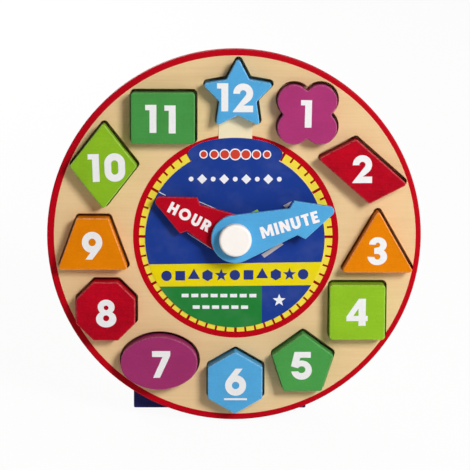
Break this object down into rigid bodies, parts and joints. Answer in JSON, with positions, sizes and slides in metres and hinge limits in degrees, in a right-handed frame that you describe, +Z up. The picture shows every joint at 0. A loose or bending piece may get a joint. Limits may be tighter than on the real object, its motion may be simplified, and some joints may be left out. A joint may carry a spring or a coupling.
{
  "type": "shape sorting clock",
  "caption": "Round wooden toy clock on a rear foot: numbered shape blocks lift out of matching sockets round a dial with free-turning hour and minute hands.",
  "frame": {"origin": "on the table, at the middle of the flat planed on the foot's rear lower edge, in line with the hub", "axes": "+X to the right of someone looking at the face, +Y from the face to the back, +Z up; the face leans back 10 degrees"},
  "size_m": [0.235, 0.0607, 0.2332],
  "materials": {
    "face_wood": "pale plywood, clear satin varnish, printed rim and minute ring",
    "back_wood": "pale plywood, sanded, thin varnish",
    "dowel_wood": "plain beech dowel",
    "printed_card": "coated card in flat printed colours",
    "hub_nylon": "natural nylon",
    "green_paint": "wood under even satin paint",
    "lime_paint": "wood under even satin paint",
    "light_blue_paint": "wood under even satin paint",
    "purple_paint": "wood under even satin paint",
    "red_paint": "wood under even satin paint",
    "orange_paint": "wood under even satin paint",
    "navy_paint": "wood under even satin paint",
    "knob_paint": "wood under even satin paint"
  },
  "bodies": {
    "clock": {"face_board": "face_wood", "back_board": "back_wood", "dial_card": "printed_card", "hub_spindle": "dowel_wood", "hub_spacer": "hub_nylon", "hand_washer": "hub_nylon", "hub_knob": "knob_paint", "foot": "navy_paint", "foot_dowels": "dowel_wood"},
    "hour_hand": {"hour_hand": "red_paint"},
    "minute_hand": {"minute_hand": "light_blue_paint"},
    "block_1": {"block_1_quatrefoil": "purple_paint"},
    "block_2": {"block_2_parallelogram": "red_paint"},
    "block_3": {"block_3_triangle": "orange_paint"},
    "block_4": {"block_4_square": "lime_paint"},
    "block_5": {"block_5_pentagon": "green_paint"},
    "block_6": {"block_6_hexagon": "light_blue_paint"},
    "block_7": {"block_7_oval": "purple_paint"},
    "block_8": {"block_8_octagon": "red_paint"},
    "block_9": {"block_9_trapezoid": "orange_paint"},
    "block_10": {"block_10_diamond": "lime_paint"},
    "block_11": {"block_11_rectangle": "green_paint"},
    "block_12": {"block_12_star": "light_blue_paint"}
  },
  "joints": [
    {"name": "hour_hand_turn", "type": "hinge", "parent": "clock", "child": "hour_hand", "pos_m": [0, -0.024, 0.11764], "axis": [0, 0.9848, -0.1736], "continuous": true},
    {"name": "minute_hand_turn", "type": "hinge", "parent": "clock", "child": "minute_hand", "pos_m": [0, -0.024, 0.11764], "axis": [0, 0.9848, -0.1736], "continuous": true},
    {"name": "block_1_lift", "type": "slide", "parent": "clock", "child": "block_1", "axis": [0, -0.9848, 0.1736], "range_m": [0, 0.03]},
    {"name": "block_2_lift", "type": "slide", "parent": "clock", "child": "block_2", "axis": [0, -0.9848, 0.1736], "range_m": [0, 0.03]},
    {"name": "block_3_lift", "type": "slide", "parent": "clock", "child": "block_3", "axis": [0, -0.9848, 0.1736], "range_m": [0, 0.03]},
    {"name": "block_4_lift", "type": "slide", "parent": "clock", "child": "block_4", "axis": [0, -0.9848, 0.1736], "range_m": [0, 0.03]},
    {"name": "block_5_lift", "type": "slide", "parent": "clock", "child": "block_5", "axis": [0, -0.9848, 0.1736], "range_m": [0, 0.03]},
    {"name": "block_6_lift", "type": "slide", "parent": "clock", "child": "block_6", "axis": [0, -0.9848, 0.1736], "range_m": [0, 0.03]},
    {"name": "block_7_lift", "type": "slide", "parent": "clock", "child": "block_7", "axis": [0, -0.9848, 0.1736], "range_m": [0, 0.03]},
    {"name": "block_8_lift", "type": "slide", "parent": "clock", "child": "block_8", "axis": [0, -0.9848, 0.1736], "range_m": [0, 0.03]},
    {"name": "block_9_lift", "type": "slide", "parent": "clock", "child": "block_9", "axis": [0, -0.9848, 0.1736], "range_m": [0, 0.03]},
    {"name": "block_10_lift", "type": "slide", "parent": "clock", "child": "block_10", "axis": [0, -0.9848, 0.1736], "range_m": [0, 0.03]},
    {"name": "block_11_lift", "type": "slide", "parent": "clock", "child": "block_11", "axis": [0, -0.9848, 0.1736], "range_m": [0, 0.03]},
    {"name": "block_12_lift", "type": "slide", "parent": "clock", "child": "block_12", "axis": [0, -0.9848, 0.1736], "range_m": [0, 0.03]}
  ]
}
